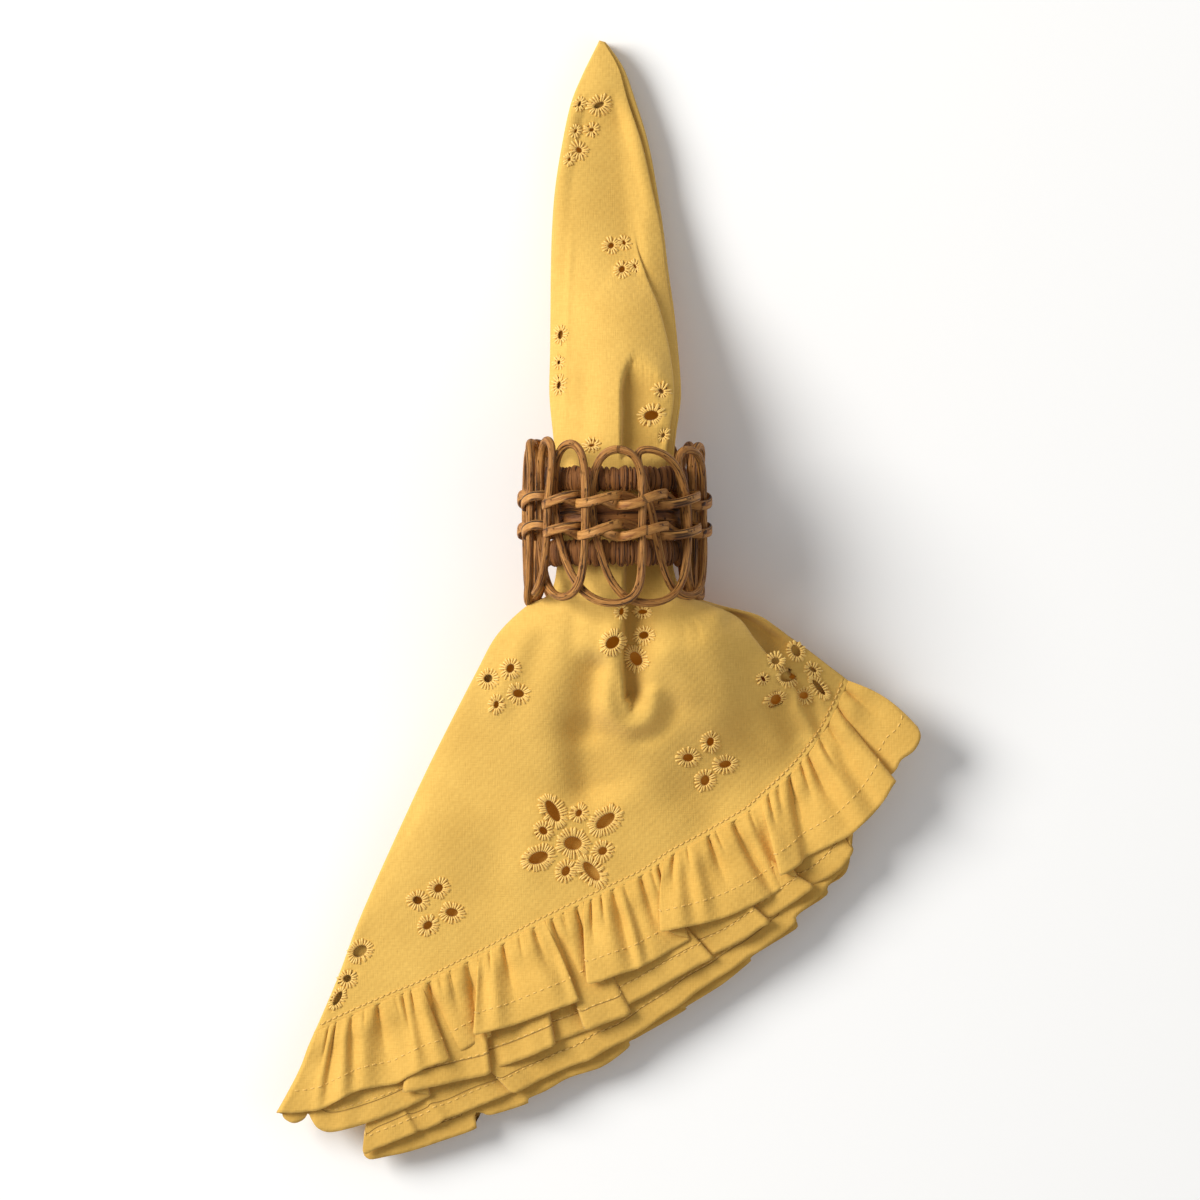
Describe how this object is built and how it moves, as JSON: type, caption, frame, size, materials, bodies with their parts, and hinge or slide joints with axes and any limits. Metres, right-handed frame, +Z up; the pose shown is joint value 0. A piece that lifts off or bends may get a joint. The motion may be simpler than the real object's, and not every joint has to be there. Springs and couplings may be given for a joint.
{
  "type": "napkin in a ring",
  "caption": "Ruffled eyelet cotton napkin folded into a wedge and drawn through a woven round cane ring, lying flat.",
  "frame": {"origin": "on the flat underside of the fanned cloth, straight below the ring's axis in X", "axes": "+Y towards the folded tip, along the ring's axis; +Z up from the table; +X to the right seen from above"},
  "size_m": [0.2099, 0.36, 0.0623],
  "materials": {
    "cotton": "matt woven cotton",
    "ruffle_cotton": "matt woven cotton",
    "loop_cane": "brown cane, satin",
    "split_cane": "flat split cane, dull",
    "wound_cane": "cane wound crosswise, dull"
  },
  "bodies": {
    "root": {"napkin_panel": "cotton", "napkin_ruffle": "ruffle_cotton", "ring_loops": "loop_cane", "ring_twine_upper": "split_cane", "ring_twine_lower": "split_cane", "ring_core_upper": "wound_cane", "ring_core_middle": "wound_cane", "ring_core_lower": "wound_cane"}
  },
  "joints": []
}
